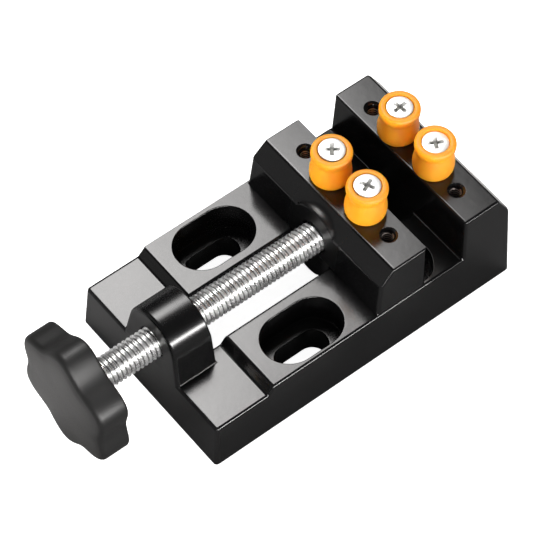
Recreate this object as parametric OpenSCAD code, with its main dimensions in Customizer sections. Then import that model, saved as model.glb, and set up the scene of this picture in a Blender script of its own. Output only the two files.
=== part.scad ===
// Mini bench vise: a cast base with a fixed jaw, a movable jaw drawn by a lead screw,
// and four screwed-on pegs that hold round or odd-shaped work.
// +X runs along the screw from the knob to the fixed jaw, +Y across, +Z up.
// The origin is the centre of the base's underside.

/* [Base casting] */
// Length of the base at its underside
base_l = 112; // [110:1:130]
// Width of the base at its underside
base_w = 63.6; // [62.6:0.2:76]
// Draft of the cast sides and ends, in degrees
base_draft = 3; // [1:0.5:4]
// Radius of the upright corners
base_corner_r = 1.2; // [1:0.2:5]
// Height of the rails that the movable jaw slides on
rail_h = 20.2; // [18:0.1:24]
// Height of the low step at the knob end
step_h = 17.5; // [15:0.1:17.8]
// Length of the low step
step_l = 19.6; // [18:0.1:24]
// Length of the slope from the step up to the rails
step_slope_l = 2.2; // [1:0.1:3]
// Width of the gap between the rails
gap_w = 18; // [16:0.2:20]
// Height of the jaws' top faces above the underside
jaw_h = 37.5; // [37:0.1:42]

/* [Fixed jaw] */
// Distance from the clamping face to the rear end of the base
fixed_jaw_t = 19.1; // [18:0.1:22]
// Length of the fixed jaw's flat top
fixed_top_l = 12.9; // [12:0.1:14]
// Height of the slanted rear shoulder
shoulder_h = 7.5; // [4:0.1:10]

/* [Nut boss] */
// Height of the screw axis above the underside
screw_z = 25.6; // [24.5:0.1:26]
// Outer radius of the boss that holds the screw thread
boss_r = 11; // [9:0.1:11.5]
// Length of the boss, from the front end of the base
boss_l = 15; // [12:0.1:17]
// Width of the boss where it meets the low step
boss_foot_w = 25.4; // [23:0.2:30]
// Width of the bevel round the screw hole's mouth
boss_bevel = 0.5; // [0.2:0.1:1]

/* [Mounting slots] */
// Distance from the middle of the base back to the front pair of slots
slot_front_x = 15.8; // [15:0.1:16.5]
// Distance between the front and the rear pair of slots
slot_pitch_x = 34.4; // [33:0.1:35]
// Distance between the slots of one pair
slot_pitch_y = 41.8; // [41:0.2:43]
// Length of the through slot, end to end
slot_l = 18; // [14:0.2:20]
// Width of the through slot
slot_w = 9.2; // [6.6:0.2:10]
// Length of the pocket over the slot, end to end
pocket_l = 26.6; // [23:0.2:27]
// Width of the pocket over the slot
pocket_w = 17.8; // [14:0.2:18]
// Height of the pocket's floor above the underside
pocket_floor_z = 9.5; // [9:0.1:12]

/* [Keeper channel] */
// Width of the channel under the rails that the keeper plate runs in
channel_w = 27; // [25:0.2:28]
// Depth of the channel
channel_h = 6.5; // [6:0.1:7]
// Distance from the middle of the base to the channel's front end
channel_front_l = 38; // [37:0.1:40]
// Distance from the middle of the base to the channel's rear end
channel_rear_l = 38; // [37:0.1:42]

/* [Movable jaw] */
// Opening between the clamping faces as drawn
opening = 14.2; // [8:0.1:30]
// Length of the movable jaw under its front bevel, at the bevel's lower edge
moving_l = 17.5; // [16:0.1:20]
// Distance that the movable jaw's sides stand in from the rails' sides
moving_side_inset = 0.45; // [0.2:0.05:1.5]
// Draft of the movable jaw's sides, in degrees
moving_side_draft = 2.6; // [1:0.1:3]
// Draft of the movable jaw's front face, in degrees
moving_front_draft = 4.5; // [2:0.1:6]
// Size of the bevel along the front top edge
moving_bevel = 5; // [3:0.1:6]
// Radius of the boss round the screw on the jaw's front
hood_r = 11; // [9:0.1:11.4]
// Depth below the rails' tops of the centre of the tongue's round bottom
tongue_round_drop = 0.7; // [0.2:0.1:3]
// Running clearance on each side of the tongue
tongue_clear = 0.2; // [0.1:0.05:0.4]
// Running clearance between flat sliding faces
slide_clear = 0.06; // [0.04:0.01:0.1]
// Distance from the clamping face back to the rear of the tongue
tongue_rear_gap = 0.7; // [0.5:0.1:1.5]

/* [Jaw holes and pegs] */
// Distance from each clamping face to the row of holes
hole_inset = 5.75; // [5.5:0.05:7]
// Distance between the two pegs of a jaw
peg_pitch = 16; // [14.5:0.2:18]
// Distance between the two free holes at a jaw's ends
end_hole_pitch = 38; // [34:0.2:44]
// Radius of the tapped holes at the thread's crests
tapped_r = 1.65; // [1.6:0.01:1.8]
// Depth of the tapped holes
tapped_depth = 10; // [8.5:0.1:11]
// Radius of the holes' countersunk rims
tapped_rim_r = 2.75; // [2.3:0.05:3.2]
// Height of a peg
peg_h = 12.3; // [11:0.1:14]
// Largest radius of a peg
peg_r = 6.4; // [5.8:0.05:6.8]
// Radius of the hole through a peg
peg_bore_r = 2.1; // [2.05:0.05:2.4]
// Radius of the recess round the screw head
peg_recess_r = 4.4; // [4.25:0.05:4.7]
// Depth of the screw head under the peg's top
peg_recess_depth = 0.3; // [0.1:0.1:0.8]

/* [Peg screws] */
// Radius of the countersunk head
peg_screw_head_r = 4.2; // [4:0.05:4.25]
// Height of the straight rim of the head
peg_screw_rim_h = 0.4; // [0.2:0.1:0.8]
// Radius of the shank
peg_screw_r = 1.95; // [1.8:0.01:2]
// Radius of the screwed-in end
peg_screw_root_r = 1.62; // [1.5:0.01:1.63]
// Length of the screw from the head's top
peg_screw_l = 20; // [18:0.5:20]
// Width of the cross recess's slots
cross_slot_w = 0.9; // [0.6:0.1:1.2]
// Length of the cross recess, tip to tip
cross_slot_l = 4.4; // [3:0.1:5]
// Depth of the cross recess
cross_depth = 1.3; // [0.8:0.1:1.8]

/* [Lead screw] */
// Major radius of the thread
thread_r = 5; // [4.6:0.05:5]
// Minor radius of the thread
thread_root_r = 4.1; // [3.9:0.05:4.3]
// Pitch of the thread
thread_pitch = 1.5; // [1.25:0.25:1.75]
// Running clearance round the thread and the spigot
running_clear = 0.05; // [0.02:0.01:0.08]
// Length of the screw between the knob and the movable jaw
screw_shown_l = 81.5; // [78:0.5:110]
// Depth that the screw reaches into the knob
screw_in_knob = 7.5; // [6:0.1:8]
// Depth that the threaded part reaches into the movable jaw
screw_in_jaw = 1.6; // [1:0.1:2.5]
// Radius of the plain spigot at the end of the screw
spigot_r = 3.95; // [3.6:0.05:4]
// Radius at the bottom of the spigot's groove
groove_r = 2.9; // [2.6:0.05:3.1]
// Wall left between the spigot's hole and the clamping face
spigot_wall = 3.4; // [2.5:0.1:5]
// Radius of the counterbore that the thread enters in the jaw
counterbore_r = 5.5; // [5.4:0.1:6.2]

/* [Retaining pins] */
// Radius of each pin
pin_r = 1.5; // [1.25:0.05:1.6]
// Distance from the clamping face to the pins
pin_inset = 7.7; // [7.4:0.1:8.2]
// Length of each pin
pin_l = 22; // [21:0.5:24]

/* [Keeper] */
// Length of the keeper plate along the base
keeper_l = 14; // [13:0.1:15]
// Width of the keeper plate
keeper_w = 26; // [22:0.2:26.4]
// Thickness of the keeper plate
keeper_t = 2.4; // [2:0.1:2.6]
// Corner radius of the keeper plate
keeper_corner_r = 2; // [0.5:0.1:3]
// Distance between the two keeper screws
keeper_screw_pitch = 8.4; // [8:0.1:9]
// Radius of the keeper screw's shank
keeper_screw_r = 1.5; // [1.4:0.05:1.6]
// Radius of the keeper screw's screwed-in end
keeper_root_r = 1.22; // [1.1:0.01:1.24]
// Radius of the keeper screw's tapped hole
keeper_tapped_r = 1.25; // [1.25:0.01:1.35]
// Length of the keeper screw under its head
keeper_screw_l = 10; // [8:0.5:12]
// Radius of the pan head
pan_r = 2.8; // [2.6:0.05:2.9]
// Height of the pan head
pan_h = 2.1; // [1.8:0.1:2.2]
// Outer radius of the spring washer
washer_r = 2.9; // [2.6:0.05:3]
// Thickness of the spring washer
washer_t = 0.8; // [0.5:0.1:0.9]
// Width of the split in the spring washer
washer_split = 0.5; // [0.3:0.1:0.8]

/* [Knob] */
// Largest radius of the knob, over its lobes
knob_r = 20.4; // [18:0.1:25]
// Depth of the hollows between the lobes
knob_lobe_depth = 3.1; // [1.5:0.1:4]
// Number of lobes
knob_lobes = 6; // [5:1:8]
// Thickness of the knob
knob_t = 10.3; // [9.5:0.1:14]
// Rounding of the knob's front edge
knob_edge_r = 2; // [1:0.1:3]
// Rounding of the knob's rear edge
knob_rear_edge_r = 0.6; // [0.3:0.1:1]
// Height of the dome on the knob's face
knob_dome = 0.5; // [0.2:0.1:1]
// Inner radius of the hollow ring in the knob's back
knob_hollow_inner_r = 9; // [8.5:0.1:10]
// Outer radius of the hollow ring in the knob's back
knob_hollow_outer_r = 14; // [12:0.1:14.5]
// Depth of the hollow ring in the knob's back
knob_hollow_depth = 3; // [1:0.1:5]
// Distance across the corners of the hexagonal insert, halved
insert_r = 7.4; // [6.6:0.1:7.8]

/* [Hidden] */
$fn = 96;
overrun = 1; // how far a cut runs past the face it opens

// Places along X
front_x = -base_l / 2;
rear_x = base_l / 2;
fixed_face_x = rear_x - fixed_jaw_t;
moving_face_x = fixed_face_x - opening;
moving_front_x = moving_face_x - moving_l;
boss_front_x = front_x + screw_z * tan(base_draft);
boss_rear_x = front_x + boss_l;
knob_rear_x = moving_front_x - screw_shown_l;
knob_front_x = knob_rear_x - knob_t;
fixed_hole_x = fixed_face_x + hole_inset;
moving_hole_x = moving_face_x - hole_inset;
tongue_rear_x = moving_face_x - tongue_rear_gap;
keeper_rear_x = tongue_rear_x;
keeper_mid_x = keeper_rear_x - keeper_l / 2;
pin_x = moving_face_x - pin_inset;

// Heights
bevel_z = jaw_h - moving_bevel;
tongue_w = gap_w - 2 * tongue_clear;
tongue_round_z = rail_h - tongue_round_drop;
keeper_top_z = channel_h - slide_clear;
keeper_bottom_z = keeper_top_z - keeper_t;
washer_bottom_z = keeper_bottom_z - washer_t;
peg_head_z = jaw_h + peg_h - peg_recess_depth;

// Thread and spigot
screw_start_x = knob_rear_x - screw_in_knob;
thread_end_x = moving_front_x + screw_in_jaw;
thread_turns = floor((thread_end_x - screw_start_x) / thread_pitch);
spigot_end_x = moving_face_x - spigot_wall - slide_clear;
groove_l = 2 * (pin_r + slide_clear);
pin_y = groove_r + pin_r + running_clear;
thread_tip_share = 0.12; // share of the pitch that is flat at a thread's crest

// Profile of a peg, from its foot to its top: share of the height, share of the radius
peg_profile_shares = [[0, 0.945], [0.012, 0.968], [0.04, 0.985], [0.1, 0.992], [0.195, 0.988],
    [0.293, 0.975], [0.39, 0.955], [0.488, 0.925], [0.569, 0.892], [0.634, 0.862], [0.691, 0.845],
    [0.732, 0.85], [0.76, 0.878], [0.78, 0.92], [0.797, 0.955], [0.821, 0.982], [0.862, 0.997],
    [0.902, 1], [0.943, 0.988], [0.976, 0.95], [0.992, 0.905], [1, 0.86]];
knob_points = 96; // points round the knob's outline
corner_steps = 6; // facets in an upright corner of the base
edge_steps = 4; // rings in the rounding of the knob's front edge
pan_dome_share = 0.45; // share of the pan head's height that is straight
screw_tip_share = 0.4; // bevel at a screw's tip, as a share of its radius

// Outline of a rounded rectangle, corner by corner
function corner_arc(x, y, r, a) =
    [for (i = [0 : corner_steps]) [x + r * cos(a + 90 * i / corner_steps), y + r * sin(a + 90 * i / corner_steps)]];
function rounded_outline(l, w, r) = concat(
    corner_arc(l / 2 - r, w / 2 - r, r, 0),
    corner_arc(-l / 2 + r, w / 2 - r, r, 90),
    corner_arc(-l / 2 + r, -w / 2 + r, r, 180),
    corner_arc(l / 2 - r, -w / 2 + r, r, 270));

// Solid through rings of points, each ring with as many points as the first
module ringed_solid(rings) {
    n = len(rings[0]);
    m = len(rings);
    polyhedron(
        points = [for (ring = rings) each ring],
        faces = concat(
            [[for (i = [0 : n - 1]) i]],
            [for (k = [0 : m - 2]) for (i = [0 : n - 1])
                [k * n + i, (k + 1) * n + i, (k + 1) * n + (i + 1) % n, k * n + (i + 1) % n]],
            [[for (i = [0 : n - 1]) m * n - 1 - i]]));
}

// Block that narrows upwards by its draft on all four sides
module drafted_block(l, w, h, r, draft) {
    inset = h * tan(draft);
    ringed_solid([
        [for (p = rounded_outline(l, w, r)) [p.x, p.y, 0]],
        [for (p = rounded_outline(l - 2 * inset, w - 2 * inset, r)) [p.x, p.y, h]]]);
}

// Turns a shape drawn in X and Z into a slab across the vise
module across(w) {
    rotate([90, 0, 0])
        linear_extrude(w, center = true)
            children();
}

// Turns a shape drawn in Y and Z into a bar along the vise, from x0 to x1
module along(x0, x1) {
    translate([x0, 0, 0])
        rotate([90, 0, 90])
            linear_extrude(x1 - x0)
                children();
}

// Round bar along X on the screw's axis, from x0 to x1
module screw_bar(r, x0, x1) {
    translate([x0, 0, screw_z])
        rotate([0, 90, 0])
            cylinder(r = r, h = x1 - x0);
}

// Flat shape with two round ends, longer along X
module stadium(l, w) {
    square([l - w, w], center = true);
    for (side = [-1, 1])
        translate([side * (l - w) / 2, 0])
            circle(d = w);
}

// Flat rectangle with rounded corners
module rounded_plate(l, w, r) {
    square([l - 2 * r, w], center = true);
    square([l, w - 2 * r], center = true);
    for (sx = [-1, 1], sy = [-1, 1])
        translate([sx * (l / 2 - r), sy * (w / 2 - r)])
            circle(r);
}

// Base casting: rails, low step, fixed jaw and nut boss in one piece

module base_profile() {
    shoulder_z = jaw_h - shoulder_h;
    past_x = rear_x + overrun;
    polygon([
        [front_x - overrun, 0],
        [past_x, 0],
        [past_x, shoulder_z],
        [rear_x - shoulder_z * tan(base_draft), shoulder_z],
        [fixed_face_x + fixed_top_l, jaw_h],
        [fixed_face_x, jaw_h],
        [fixed_face_x, rail_h],
        [front_x + step_l + step_slope_l, rail_h],
        [front_x + step_l, step_h],
        [front_x - overrun, step_h]]);
}

module nut_boss() {
    screw_bar(boss_r, front_x - overrun, boss_rear_x);
    along(front_x - overrun, boss_rear_x)
        polygon([
            [-boss_foot_w / 2, 0],
            [boss_foot_w / 2, 0],
            [boss_foot_w / 2, step_h],
            [boss_r, screw_z],
            [-boss_r, screw_z],
            [-boss_foot_w / 2, step_h]]);
}

module mounting_slot() {
    translate([0, 0, -overrun])
        linear_extrude(pocket_floor_z + 2 * overrun)
            stadium(slot_l, slot_w);
    translate([0, 0, pocket_floor_z])
        linear_extrude(rail_h - pocket_floor_z + overrun)
            stadium(pocket_l, pocket_w);
}

// Blind tapped hole with a countersunk rim, in a jaw's top face
module tapped_hole() {
    bevel = tapped_rim_r - tapped_r;
    translate([0, 0, jaw_h - tapped_depth])
        cylinder(r = tapped_r, h = tapped_depth + overrun);
    translate([0, 0, jaw_h - bevel])
        cylinder(r1 = tapped_r, r2 = tapped_rim_r, h = bevel);
}

module hole_row(x) {
    for (pitch = [peg_pitch, end_hole_pitch], side = [-1, 1])
        translate([x, side * pitch / 2, 0])
            tapped_hole();
}

module base() {
    bore_r = thread_r + running_clear;
    color([0.06, 0.06, 0.06])
        difference() {
            intersection() {
                drafted_block(base_l, base_w, max(jaw_h, screw_z + boss_r), base_corner_r, base_draft);
                union() {
                    across(base_w + 2 * overrun)
                        base_profile();
                    nut_boss();
                }
            }
            translate([boss_rear_x, -gap_w / 2, -overrun])
                cube([fixed_face_x - boss_rear_x, gap_w, rail_h + 2 * overrun]);
            translate([-channel_front_l, -channel_w / 2, -overrun])
                cube([channel_front_l + channel_rear_l, channel_w, channel_h + overrun]);
            for (x = [-slot_front_x, -slot_front_x + slot_pitch_x], side = [-1, 1])
                translate([x, side * slot_pitch_y / 2, 0])
                    mounting_slot();
            screw_bar(bore_r, front_x - overrun, boss_rear_x + overrun);
            translate([boss_front_x - overrun, 0, screw_z])
                rotate([0, 90, 0])
                    cylinder(r1 = bore_r + boss_bevel + overrun, r2 = bore_r, h = boss_bevel + overrun);
            hole_row(fixed_hole_x);
        }
}

// Movable jaw: a block across both rails, with a boss and a tongue between the rails

function moving_front_at(z) = moving_front_x + (z - bevel_z) * tan(moving_front_draft);

// Everything behind the jaw's slanted front face, up to the face at x1
module behind_front(z0, z1, x1) {
    polygon([
        [moving_front_at(z0), z0],
        [x1, z0],
        [x1, z1],
        [moving_front_at(z1), z1]]);
}

module moving_block() {
    bottom_z = rail_h + slide_clear;
    half_foot = base_w / 2 - rail_h * tan(base_draft) - moving_side_inset;
    half_w = half_foot - (jaw_h - bottom_z) * tan(moving_side_draft);
    intersection() {
        across(2 * half_foot + 2 * overrun)
            polygon([
                [moving_front_at(bottom_z), bottom_z],
                [moving_face_x, bottom_z],
                [moving_face_x, jaw_h],
                [moving_front_x + moving_bevel, jaw_h],
                [moving_front_x, bevel_z]]);
        along(moving_front_x - moving_l, moving_face_x + overrun)
            polygon([
                [-half_foot, bottom_z],
                [half_foot, bottom_z],
                [half_w, jaw_h],
                [-half_w, jaw_h]]);
    }
}

module moving_hood() {
    intersection() {
        screw_bar(hood_r, moving_front_x - moving_l, moving_front_x + moving_l / 2);
        across(2 * hood_r)
            behind_front(rail_h + slide_clear, jaw_h, moving_face_x);
    }
}

module moving_tongue() {
    round_r = tongue_w / 2;
    top_z = rail_h + overrun;
    intersection() {
        across(tongue_w)
            behind_front(tongue_round_z - round_r, top_z, tongue_rear_x);
        along(moving_front_x - moving_l, moving_face_x) {
            translate([0, tongue_round_z])
                circle(round_r);
            translate([-round_r, tongue_round_z])
                square([tongue_w, top_z - tongue_round_z]);
        }
    }
    translate([keeper_rear_x - keeper_l, -round_r, keeper_top_z])
        cube([keeper_l, tongue_w, top_z - keeper_top_z]);
}

module movable_jaw() {
    bore_r = spigot_r + running_clear;
    color([0.06, 0.06, 0.06])
        difference() {
            union() {
                moving_block();
                moving_hood();
                moving_tongue();
            }
            screw_bar(bore_r, moving_front_x - moving_l, moving_face_x - spigot_wall);
            screw_bar(counterbore_r, moving_front_x - moving_l, thread_end_x + slide_clear);
            hole_row(moving_hole_x);
            for (side = [-1, 1]) {
                translate([pin_x, side * pin_y, keeper_top_z - overrun])
                    cylinder(r = pin_r, h = pin_l + slide_clear + overrun);
                translate([keeper_mid_x + side * keeper_screw_pitch / 2, 0, keeper_top_z - overrun])
                    cylinder(r = keeper_tapped_r, h = keeper_screw_l + overrun);
            }
        }
}

// Keeper: a plate under the rails that holds the movable jaw down

module keeper_plate() {
    color([0.72, 0.72, 0.7])
        difference() {
            translate([keeper_mid_x, 0, keeper_bottom_z])
                linear_extrude(keeper_t)
                    rounded_plate(keeper_l, keeper_w, keeper_corner_r);
            for (side = [-1, 1])
                translate([keeper_mid_x + side * keeper_screw_pitch / 2, 0, keeper_bottom_z - overrun])
                    cylinder(r = keeper_screw_r + running_clear, h = keeper_t + 2 * overrun);
        }
}

// Cross recess cut into a head whose top is at zero, opening upwards
module cross_recess() {
    for (turn = [0, 90])
        rotate(turn)
            translate([-cross_slot_l / 2, -cross_slot_w / 2, -cross_depth])
                cube([cross_slot_l, cross_slot_w, cross_depth + overrun]);
}

// Screw with a pan head, its shank pointing up and its head's seat at zero
module keeper_screw(side) {
    straight_h = pan_h * pan_dome_share;
    tapped_l = keeper_screw_l - keeper_t - washer_t;
    tip = keeper_root_r * screw_tip_share;
    color([0.78, 0.78, 0.76])
        translate([keeper_mid_x + side * keeper_screw_pitch / 2, 0, washer_bottom_z])
            difference() {
                rotate_extrude()
                    polygon([
                        [0, -pan_h],
                        [pan_r * (1 - screw_tip_share), -pan_h],
                        [pan_r, -straight_h],
                        [pan_r, 0],
                        [keeper_screw_r, 0],
                        [keeper_screw_r, keeper_screw_l - tapped_l],
                        [keeper_root_r, keeper_screw_l - tapped_l],
                        [keeper_root_r, keeper_screw_l - tip],
                        [keeper_root_r - tip, keeper_screw_l],
                        [0, keeper_screw_l]]);
                mirror([0, 0, 1])
                    translate([0, 0, pan_h])
                        intersection() {
                            cross_recess();
                            cylinder(r = pan_r * (1 - screw_tip_share), h = 2 * cross_depth, center = true);
                        }
            }
}

module keeper_washer(side) {
    color([0.66, 0.66, 0.66])
        translate([keeper_mid_x + side * keeper_screw_pitch / 2, 0, washer_bottom_z])
            difference() {
                cylinder(r = washer_r, h = washer_t);
                translate([0, 0, -overrun])
                    cylinder(r = keeper_screw_r + running_clear, h = washer_t + 2 * overrun);
                translate([0, -washer_split / 2, -overrun])
                    cube([washer_r + overrun, washer_split, washer_t + 2 * overrun]);
            }
}

module retaining_pin(side) {
    tip = pin_r * screw_tip_share / 2;
    color([0.7, 0.7, 0.7])
        translate([pin_x, side * pin_y, keeper_top_z])
            rotate_extrude()
                polygon([
                    [0, 0],
                    [pin_r - tip, 0],
                    [pin_r, tip],
                    [pin_r, pin_l - tip],
                    [pin_r - tip, pin_l],
                    [0, pin_l]]);
}

// Lead screw: a threaded rod with a plain, grooved spigot that turns in the movable jaw

module lead_screw() {
    slope_l = thread_pitch * (1 - thread_tip_share) / 2;
    thread_l = thread_turns * thread_pitch;
    plain_l = thread_end_x - screw_start_x;
    spigot_l = spigot_end_x - screw_start_x;
    groove_mid = pin_x - screw_start_x;
    tip = (spigot_r - groove_r) * screw_tip_share;
    ridges = [for (i = [0 : thread_turns - 1]) each [
        [thread_root_r, i * thread_pitch],
        [thread_r, i * thread_pitch + slope_l],
        [thread_r, (i + 1) * thread_pitch - slope_l]]];
    color([0.8, 0.8, 0.8])
        translate([screw_start_x, 0, screw_z])
            rotate([0, 90, 0])
                rotate_extrude()
                    polygon(concat(
                        [[0, 0]],
                        ridges,
                        [
                            [thread_root_r, thread_l],
                            [thread_root_r, plain_l],
                            [spigot_r, plain_l],
                            [spigot_r, groove_mid - groove_l / 2],
                            [groove_r, groove_mid - groove_l / 2],
                            [groove_r, groove_mid + groove_l / 2],
                            [spigot_r, groove_mid + groove_l / 2],
                            [spigot_r, spigot_l - tip],
                            [spigot_r - tip, spigot_l],
                            [0, spigot_l]]));
}

// Star knob, with a hexagonal threaded insert moulded into its back

// Radius of the knob's outline at an angle, with the hollows at multiples of a lobe's turn
function lobed_r(r, a) = r - knob_lobe_depth * (1 + cos(knob_lobes * a)) / 2;

// One ring of the knob, shrunk to a share of its outline, at a height over its back
function knob_ring(share, h) = [for (i = [0 : knob_points - 1])
    let (a = 360 * i / knob_points, r = lobed_r(knob_r, a) * share)
        [r * cos(a), r * sin(a), h]];

module knob_body() {
    side_h = knob_t - knob_dome - knob_edge_r;
    ringed_solid(concat(
        [knob_ring(1 - knob_rear_edge_r / knob_r, 0)],
        [knob_ring(1, knob_rear_edge_r)],
        [for (i = [0 : edge_steps])
            let (a = 90 * i / edge_steps)
                knob_ring(1 - knob_edge_r * (1 - cos(a)) / knob_r, side_h + knob_edge_r * sin(a))],
        [knob_ring((1 - knob_edge_r / knob_r) / 2, knob_t)]));
}

// Places a shape that was drawn upwards from zero so that it points towards the user
module on_knob() {
    translate([knob_rear_x, 0, screw_z])
        rotate([90, 0, -90])
            children();
}

module knob() {
    color([0.13, 0.13, 0.13])
        on_knob()
            difference() {
                knob_body();
                difference() {
                    translate([0, 0, -overrun])
                        cylinder(r = knob_hollow_outer_r, h = knob_hollow_depth + overrun);
                    translate([0, 0, -2 * overrun])
                        cylinder(r = knob_hollow_inner_r, h = knob_hollow_depth + 3 * overrun);
                }
                translate([0, 0, -overrun])
                    cylinder(r = insert_r, h = screw_in_knob + overrun, $fn = 6);
            }
}

module knob_insert() {
    color([0.75, 0.68, 0.45])
        on_knob()
            difference() {
                cylinder(r = insert_r, h = screw_in_knob, $fn = 6);
                translate([0, 0, -overrun])
                    cylinder(r = thread_r + running_clear, h = screw_in_knob + 2 * overrun);
            }
}

// Pegs and their countersunk screws

module peg(x, side) {
    cone_h = peg_screw_head_r - peg_bore_r;
    head_z = peg_h - peg_recess_depth - peg_screw_rim_h;
    color([1, 0.66, 0.12])
        translate([x, side * peg_pitch / 2, jaw_h])
            difference() {
                rotate_extrude()
                    polygon(concat(
                        [[0, 0]],
                        [for (p = peg_profile_shares) [p.y * peg_r, p.x * peg_h]],
                        [[0, peg_h]]));
                translate([0, 0, -overrun])
                    cylinder(r = peg_bore_r, h = peg_h + 2 * overrun);
                translate([0, 0, head_z - cone_h])
                    cylinder(r1 = peg_bore_r, r2 = peg_screw_head_r, h = cone_h);
                translate([0, 0, head_z])
                    cylinder(r = peg_recess_r, h = peg_h);
            }
}

module peg_screw(x, side, turn) {
    cone_h = peg_screw_head_r - peg_bore_r;
    neck_h = peg_screw_rim_h + cone_h;
    plain_l = peg_head_z - jaw_h;
    tip = peg_screw_root_r * screw_tip_share;
    color([0.86, 0.86, 0.84])
        translate([x, side * peg_pitch / 2, peg_head_z])
            difference() {
                rotate_extrude()
                    polygon([
                        [0, -peg_screw_l],
                        [peg_screw_root_r - tip, -peg_screw_l],
                        [peg_screw_root_r, tip - peg_screw_l],
                        [peg_screw_root_r, -plain_l],
                        [peg_screw_r, -plain_l],
                        [peg_screw_r, -neck_h],
                        [peg_bore_r, -neck_h],
                        [peg_screw_head_r, -peg_screw_rim_h],
                        [peg_screw_head_r, 0],
                        [0, 0]]);
                rotate(turn)
                    cross_recess();
            }
}

// Turn of each peg screw's cross recess, in degrees, as left by the screwdriver
fixed_left_turn = 38;
fixed_right_turn = 12;
moving_left_turn = 4;
moving_right_turn = 62;

base();
movable_jaw();
keeper_plate();
keeper_screw(-1);  // keeper_screw_front
keeper_screw(1);  // keeper_screw_rear
keeper_washer(-1);  // keeper_washer_front
keeper_washer(1);  // keeper_washer_rear
retaining_pin(1);  // retaining_pin_left
retaining_pin(-1);  // retaining_pin_right
lead_screw();
knob();
knob_insert();
peg(fixed_hole_x, 1);  // peg_fixed_left
peg(fixed_hole_x, -1);  // peg_fixed_right
peg(moving_hole_x, 1);  // peg_moving_left
peg(moving_hole_x, -1);  // peg_moving_right
peg_screw(fixed_hole_x, 1, fixed_left_turn);  // peg_screw_fixed_left
peg_screw(fixed_hole_x, -1, fixed_right_turn);  // peg_screw_fixed_right
peg_screw(moving_hole_x, 1, moving_left_turn);  // peg_screw_moving_left
peg_screw(moving_hole_x, -1, moving_right_turn);  // peg_screw_moving_right
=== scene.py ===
import math

import bmesh
import bpy
from mathutils import Matrix, Vector


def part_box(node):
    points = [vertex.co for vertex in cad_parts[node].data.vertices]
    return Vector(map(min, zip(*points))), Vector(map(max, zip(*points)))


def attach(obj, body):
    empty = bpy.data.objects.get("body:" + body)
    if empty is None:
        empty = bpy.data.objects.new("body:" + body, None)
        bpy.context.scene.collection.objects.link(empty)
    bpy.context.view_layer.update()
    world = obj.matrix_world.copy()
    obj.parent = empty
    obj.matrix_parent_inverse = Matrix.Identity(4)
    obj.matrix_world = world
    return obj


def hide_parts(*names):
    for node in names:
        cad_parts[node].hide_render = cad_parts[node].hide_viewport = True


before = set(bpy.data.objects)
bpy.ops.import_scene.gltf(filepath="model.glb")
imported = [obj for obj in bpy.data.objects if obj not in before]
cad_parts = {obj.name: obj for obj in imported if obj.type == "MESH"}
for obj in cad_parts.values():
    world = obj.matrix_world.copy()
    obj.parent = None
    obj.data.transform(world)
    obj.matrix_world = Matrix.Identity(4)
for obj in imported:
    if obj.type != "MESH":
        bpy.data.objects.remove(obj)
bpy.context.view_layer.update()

MM = 0.001
TAU = 2 * math.pi

# Sizes in millimetres, as in the part's source
SCREW_Z = 25.6
JAW_TOP_Z = 37.5
RAIL_Z = 20.2
STEP_Z = 17.5
POCKET_Z = 9.5
FIXED_FACE_X = 36.9
MOVING_FACE_X = 22.7
MOVING_FRONT_X = 5.2
BOSS_FRONT_X = -54.7
BOSS_REAR_X = -41.0
BOSS_R = 11.0
THREAD_R = 5.0
THREAD_ROOT_R = 4.1
THREAD_PITCH = 1.5
KNOB_REAR_X = -76.3
KNOB_T = 10.3
KNOB_R = 20.4
PEG_Y = 8.0
END_HOLE_Y = 19.0
FIXED_HOLE_X = 42.65
MOVING_HOLE_X = 16.95
BOSS_FOOT_Y = 12.7
BOSS_FLANK_LEAN = 0.187
BOSS_TANGENT_H = 2.05
MOUTH_R = 5.25
HOLE_SHOW_Y = 18.6
HOLE_MOUTH_R = 2.7
GAP_EDGE_Y = 9.0
GAP_TRIM = 0.75
POCKET_TRIM = 0.75
REAR_TRIM = 0.8
ON_PLACE = 0.1
THREAD_EASE = 0.12
TAPPED_R = 1.65
TAPPED_ROOT_R = 2.02
TAPPED_BOTTOM_Z = 27.5
TAPPED_MOUTH_Z = 36.4
PEG_H = 12.3
PEG_R = 6.4
PEG_SCREW_TOP_Z = 49.5
PEG_SHIFT_X = 0.2
PEG_SHIFT_Y = -0.18


# Node trees written as expressions

class Wire:
    """A socket of a node tree; arithmetic on it adds the Math nodes."""

    def __init__(self, net, socket):
        self.net = net
        self.socket = socket

    def out(self, name):
        """Another output of the same node."""
        return Wire(self.net, self.socket.node.outputs[name])

    def call(self, operation, *others):
        """A Math node of any operation, with this value first."""
        values = (self,) + others
        return self.net.add("ShaderNodeMath", dict(enumerate(values)), operation=operation)

    def mix(self, low, high):
        """A colour from low to high, with this value as the factor."""
        return self.net.add("ShaderNodeMix", {0: self, 6: low, 7: high}, out=2, data_type="RGBA")

    def span(self, low, high, to_low=0.0, to_high=1.0):
        """This value's span from low to high carried to another span, and held there."""
        feeds = {"Value": self, "From Min": low, "From Max": high, "To Min": to_low, "To Max": to_high}
        return self.net.add("ShaderNodeMapRange", feeds, clamp=True)

    def __add__(self, other):
        return self.call("ADD", other)

    def __sub__(self, other):
        return self.call("SUBTRACT", other)

    def __mul__(self, other):
        return self.call("MULTIPLY", other)

    def __truediv__(self, other):
        return self.call("DIVIDE", other)

    def __pow__(self, other):
        return self.call("POWER", other)

    def __rsub__(self, other):
        return self.net.add("ShaderNodeMath", {0: other, 1: self}, operation="SUBTRACT")

    def __rtruediv__(self, other):
        return self.net.add("ShaderNodeMath", {0: other, 1: self}, operation="DIVIDE")

    __radd__ = __add__
    __rmul__ = __mul__


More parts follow.
